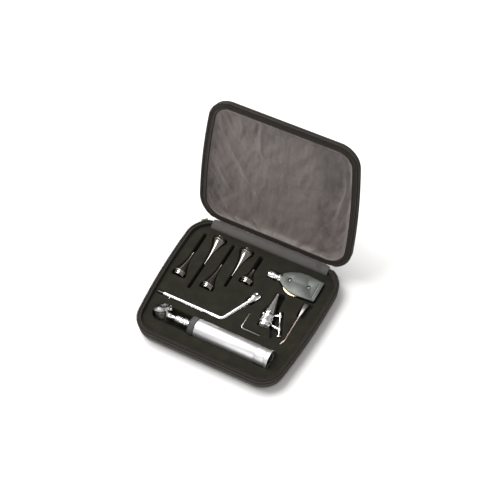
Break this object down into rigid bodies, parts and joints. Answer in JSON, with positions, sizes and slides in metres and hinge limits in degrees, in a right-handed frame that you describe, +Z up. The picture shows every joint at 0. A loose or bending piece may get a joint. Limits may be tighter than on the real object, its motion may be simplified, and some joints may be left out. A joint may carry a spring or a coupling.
{
  "type": "otoscope",
  "caption": "Otoscope set in a fitted zip case: battery handle with operating head, metal ear specula, nasal speculum, ophthalmoscope head, bent light arm, mirror and hex key",
  "frame": {"origin": "centre of the underside of the case base, on the surface the case rests on", "axes": "+X runs right along the lid hinge as seen from the open front, +Y goes back to the hinge, +Z is up out of the case"},
  "size_m": [0.2518, 0.2844, 0.2373],
  "materials": {
    "case_fabric": "matte",
    "case_binding": "matte",
    "zip_tape": "matte",
    "hinge_fabric": "matte",
    "foam": "matte",
    "lining_satin": "satin",
    "zip_metal": "satin",
    "handle_satin_chrome": "satin",
    "bright_chrome": "polished",
    "black_nickel": "polished",
    "knurled_black": "satin",
    "black_paint": "satin",
    "grey_plate": "satin",
    "wheel_brass": "satin",
    "steel": "satin",
    "rosy_nickel": "satin",
    "insulator": "satin",
    "contact_brass": "satin",
    "cell_can": "satin",
    "lens_glass": "gloss",
    "window_reflector": "gloss"
  },
  "bodies": {
    "base": {"base_shell": "case_fabric", "foam_tray": "foam", "base_rim_binding": "case_binding", "base_zip_tape": "zip_tape", "hinge_strip_base": "hinge_fabric", "zip_slider": "zip_metal"},
    "pull": {"zip_pull_tab": "zip_metal"},
    "lid": {"lid_shell": "case_fabric", "lid_lining": "lining_satin", "lid_rim_binding": "case_binding", "lid_zip_tape": "zip_tape", "hinge_strip_lid": "hinge_fabric"},
    "handle": {"handle_tube": "handle_satin_chrome", "handle_neck": "bright_chrome", "contact_insulator": "insulator", "contact_pin": "contact_brass", "battery_front": "cell_can", "battery_rear": "cell_can", "battery_spring": "steel"},
    "rheostat": {"rheostat_collar": "knurled_black"},
    "tail": {"tail_cap": "handle_satin_chrome"},
    "head": {"head_connector": "bright_chrome", "head_neck": "bright_chrome", "head_cup": "bright_chrome", "lamp_base": "steel", "lamp_bulb": "lens_glass", "lens_arm": "bright_chrome"},
    "lens": {"lens_frame": "black_paint", "viewing_lens": "lens_glass"},
    "arm": {"arm_tube": "bright_chrome", "arm_tip": "black_paint", "arm_collar": "bright_chrome", "arm_socket": "bright_chrome"},
    "spec_1": {"speculum_1": "black_nickel"},
    "spec_2": {"speculum_2": "black_nickel"},
    "spec_3": {"speculum_3": "black_nickel"},
    "spec_4": {"speculum_4": "black_nickel"},
    "spec_5": {"speculum_5": "black_nickel"},
    "nasal": {"nasal_base": "bright_chrome", "nasal_fixed_valve": "bright_chrome", "nasal_pivots": "bright_chrome", "nasal_lug": "bright_chrome"},
    "nasal_valve": {"nasal_moving_valve": "bright_chrome"},
    "nasal_turn": {"nasal_screw": "bright_chrome", "nasal_knob": "bright_chrome"},
    "oph": {"oph_housing": "black_paint", "oph_front_plate": "grey_plate", "oph_axle": "steel", "oph_screws": "steel", "oph_window": "window_reflector", "oph_connector": "bright_chrome"},
    "wheel": {"oph_lens_wheel": "wheel_brass", "oph_wheel_lenses": "lens_glass"},
    "mirror": {"mirror_wire": "rosy_nickel", "mirror_blade": "steel"},
    "key": {"hex_key": "steel"}
  },
  "joints": [
    {"name": "lid_hinge", "type": "hinge", "parent": "base", "child": "lid", "pos_m": [0, 0.10673, 0.0248], "axis": [-1, 0, 0], "range_deg": [-104, 0]},
    {"name": "zip_pull_swing", "type": "hinge", "parent": "base", "child": "pull", "pos_m": [-0.11202, 0.10172, 0.026], "axis": [0.788, 0.6157, 0], "range_deg": [0, 125]},
    {"name": "handle_lift", "type": "slide", "parent": "base", "child": "handle", "axis": [0, 0, 1], "range_m": [0, 0.12]},
    {"name": "rheostat_twist", "type": "hinge", "parent": "handle", "child": "rheostat", "pos_m": [-0.033, -0.069, 0.0194], "axis": [1, 0, 0], "range_deg": [0, 250]},
    {"name": "tail_cap_twist", "type": "hinge", "parent": "handle", "child": "tail", "pos_m": [0.08, -0.069, 0.0194], "axis": [1, 0, 0], "range_deg": [0, 1080]},
    {"name": "head_twist", "type": "hinge", "parent": "handle", "child": "head", "pos_m": [-0.05, -0.069, 0.0194], "axis": [1, 0, 0], "range_deg": [0, 31]},
    {"name": "lens_swing", "type": "hinge", "parent": "head", "child": "lens", "pos_m": [-0.07528, -0.05968, 0.02607], "axis": [-0.309, 0.4898, 0.8152], "range_deg": [0, 45]},
    {"name": "arm_lift", "type": "slide", "parent": "base", "child": "arm", "axis": [0, 0, 1], "range_m": [0, 0.12]},
    {"name": "speculum_1_lift", "type": "slide", "parent": "base", "child": "spec_1", "axis": [0, 0, 1], "range_m": [0, 0.12]},
    {"name": "speculum_2_lift", "type": "slide", "parent": "base", "child": "spec_2", "axis": [0, 0, 1], "range_m": [0, 0.12]},
    {"name": "speculum_3_lift", "type": "slide", "parent": "base", "child": "spec_3", "axis": [0, 0, 1], "range_m": [0, 0.12]},
    {"name": "speculum_4_lift", "type": "slide", "parent": "base", "child": "spec_4", "axis": [0, 0, 1], "range_m": [0, 0.12]},
    {"name": "speculum_5_lift", "type": "slide", "parent": "base", "child": "spec_5", "axis": [0, 0, 1], "range_m": [0, 0.12]},
    {"name": "nasal_lift", "type": "slide", "parent": "base", "child": "nasal", "axis": [0, 0, 1], "range_m": [0, 0.12]},
    {"name": "nasal_valve_swing", "type": "hinge", "parent": "nasal", "child": "nasal_valve", "pos_m": [0.05356, -0.00415, 0.018], "axis": [0, 0, -1], "range_deg": [0, 12]},
    {"name": "nasal_screw_turn", "type": "hinge", "parent": "nasal", "child": "nasal_turn", "pos_m": [0.0687, 0.00266, 0.018], "axis": [0.4099, -0.9121, 0], "range_deg": [0, 1260]},
    {"name": "ophthalmoscope_lift", "type": "slide", "parent": "base", "child": "oph", "axis": [0, 0, 1], "range_m": [0, 0.12]},
    {"name": "lens_wheel_turn", "type": "hinge", "parent": "oph", "child": "wheel", "pos_m": [0.066, 0.0605, 0.0186], "axis": [0, 0, 1], "continuous": true},
    {"name": "mirror_lift", "type": "slide", "parent": "base", "child": "mirror", "axis": [0, 0, 1], "range_m": [0, 0.12]},
    {"name": "hex_key_lift", "type": "slide", "parent": "base", "child": "key", "axis": [0, 0, 1], "range_m": [0, 0.12]}
  ],
  "couplings": [
    {"joint": "nasal_screw_turn", "follows": "nasal_valve_swing", "ratio": 105}
  ]
}
